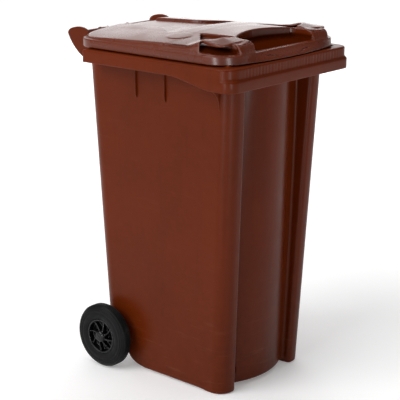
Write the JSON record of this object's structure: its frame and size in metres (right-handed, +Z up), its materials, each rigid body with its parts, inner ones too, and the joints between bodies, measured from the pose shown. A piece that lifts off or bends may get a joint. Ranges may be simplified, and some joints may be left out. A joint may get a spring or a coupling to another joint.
{
  "type": "wheelie bin",
  "caption": "Wheeled refuse bin with a tapered tub, deep ribbed rim, hinged lid with corner hand bars, rear grips, and spoked wheels on a steel axle.",
  "frame": {"origin": "on the ground under the middle of the overall footprint", "axes": "+X to the bin's left-to-right with the viewer in front, front of the bin faces -Y, hinge and wheels towards +Y, +Z up"},
  "size_m": [0.58, 0.72, 1.0679],
  "materials": {
    "brown_plastic": "smooth moulded polyethylene, softly glossy",
    "black_plastic": "moulded black plastic",
    "rubber_tyre": "matt black rubber",
    "zinc_steel": "zinc plated steel"
  },
  "bodies": {
    "bin": {"bin_body": "brown_plastic", "axle": "zinc_steel", "hinge_pin_left": "black_plastic", "hinge_pin_right": "black_plastic", "spacer_sleeve_left": "black_plastic", "spacer_sleeve_right": "black_plastic", "star_lock_ring_left": "zinc_steel", "star_lock_ring_right": "zinc_steel"},
    "lid": {"lid": "brown_plastic"},
    "wheel_left": {"wheel_hub_left": "black_plastic", "tyre_left": "rubber_tyre", "hub_cap_left": "black_plastic"},
    "wheel_right": {"wheel_hub_right": "black_plastic", "tyre_right": "rubber_tyre", "hub_cap_right": "black_plastic"}
  },
  "joints": [
    {"name": "lid_hinge", "type": "hinge", "parent": "bin", "child": "lid", "pos_m": [0, 0.342, 1.012], "axis": [-1, 0, 0], "range_deg": [0, 270]},
    {"name": "wheel_left_spin", "type": "hinge", "parent": "bin", "child": "wheel_left", "pos_m": [-0.244, 0.17, 0.1], "axis": [1, 0, 0], "continuous": true},
    {"name": "wheel_right_spin", "type": "hinge", "parent": "bin", "child": "wheel_right", "pos_m": [0.244, 0.17, 0.1], "axis": [1, 0, 0], "continuous": true}
  ]
}
